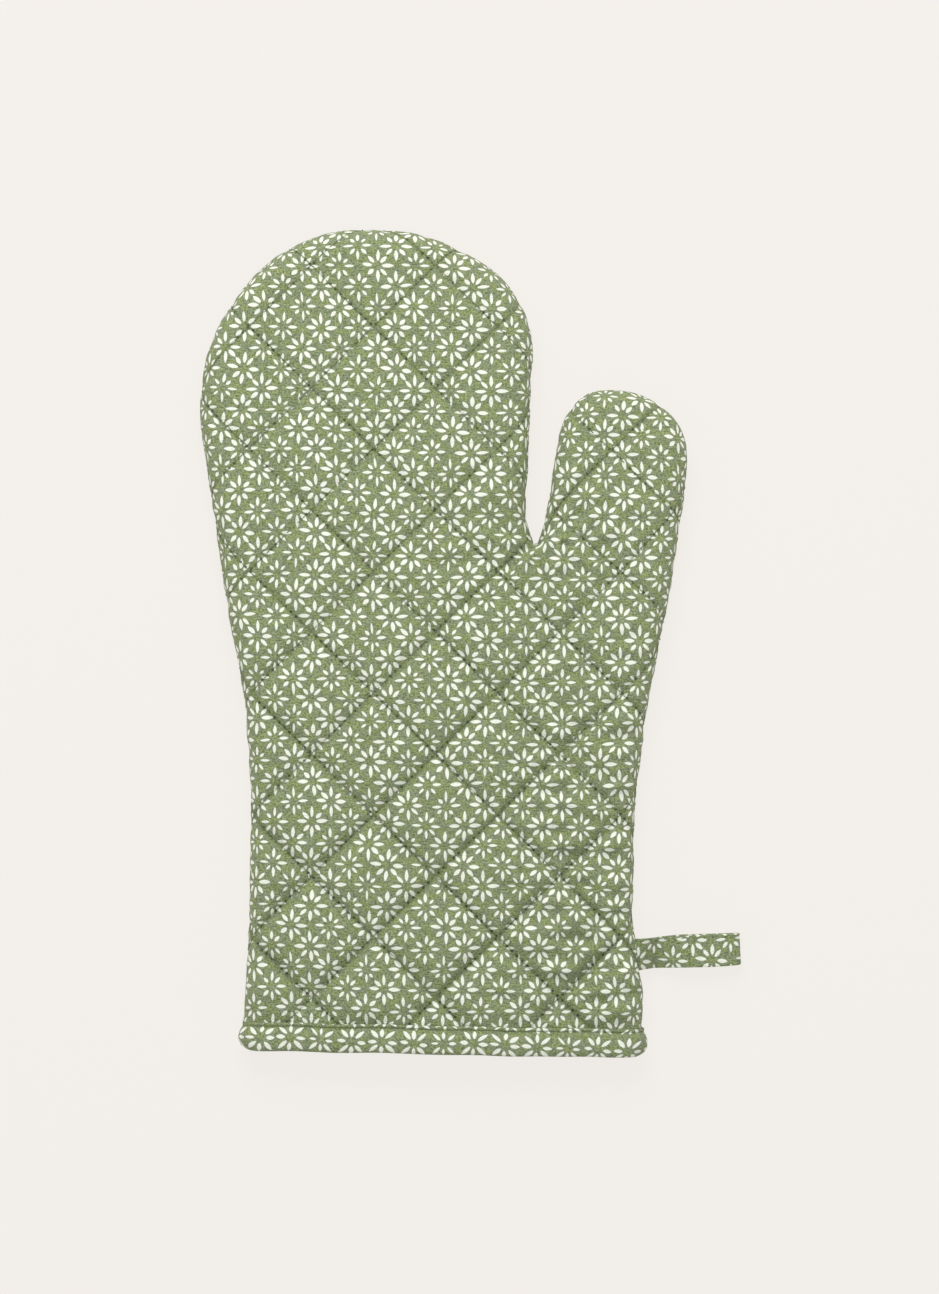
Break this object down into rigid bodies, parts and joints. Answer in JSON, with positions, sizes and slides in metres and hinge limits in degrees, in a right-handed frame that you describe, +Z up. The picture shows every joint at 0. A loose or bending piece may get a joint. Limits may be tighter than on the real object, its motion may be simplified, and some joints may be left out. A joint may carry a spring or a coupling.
{
  "type": "oven mitt",
  "caption": "Quilted cotton oven mitt with a separate thumb, a bound cuff and a hanging loop, lying flat; the fingers, the thumb and the loop fold.",
  "frame": {"origin": "centre of the footprint, at table level", "axes": "+X to the thumb side, +Y to the fingertips, +Z up out of the palm face"},
  "size_m": [0.2037, 0.3103, 0.0203],
  "materials": {
    "printed_cotton": "matte",
    "binding_cotton": "matte",
    "wadding": "matte",
    "lining": "matte",
    "thread": "matte"
  },
  "bodies": {
    "hand": {"palm_cover_hand": "printed_cotton", "palm_wadding_hand": "wadding", "palm_lining_hand": "lining", "palm_quilting_thread_hand": "thread", "back_cover_hand": "printed_cotton", "back_wadding_hand": "wadding", "back_lining_hand": "lining", "back_quilting_thread_hand": "thread", "side_seam_thread_hand": "thread", "cuff_binding": "binding_cotton", "binding_stitching": "thread", "loop_tails": "binding_cotton"},
    "fingers": {"palm_cover_fingers": "printed_cotton", "palm_wadding_fingers": "wadding", "palm_lining_fingers": "lining", "palm_quilting_thread_fingers": "thread", "back_cover_fingers": "printed_cotton", "back_wadding_fingers": "wadding", "back_lining_fingers": "lining", "back_quilting_thread_fingers": "thread", "side_seam_thread_fingers": "thread"},
    "thumb": {"palm_cover_thumb": "printed_cotton", "palm_wadding_thumb": "wadding", "palm_lining_thumb": "lining", "palm_quilting_thread_thumb": "thread", "back_cover_thumb": "printed_cotton", "back_wadding_thumb": "wadding", "back_lining_thumb": "lining", "back_quilting_thread_thumb": "thread", "side_seam_thread_thumb": "thread"},
    "loop": {"hanging_loop": "binding_cotton", "loop_stitching": "thread"}
  },
  "joints": [
    {"name": "finger_fold", "type": "hinge", "parent": "hand", "child": "fingers", "pos_m": [-0.039, 0.067, 0.0195], "axis": [1, 0, 0], "range_deg": [0, 60]},
    {"name": "thumb_fold", "type": "hinge", "parent": "hand", "child": "thumb", "pos_m": [0.05016, 0.03605, 0.0195], "axis": [0.8192, -0.5736, 0], "range_deg": [0, 70]},
    {"name": "loop_swing", "type": "hinge", "parent": "hand", "child": "loop", "pos_m": [0.065, -0.1168, 0.01], "axis": [0.0454, -0.999, 0], "range_deg": [-60, 100]}
  ]
}
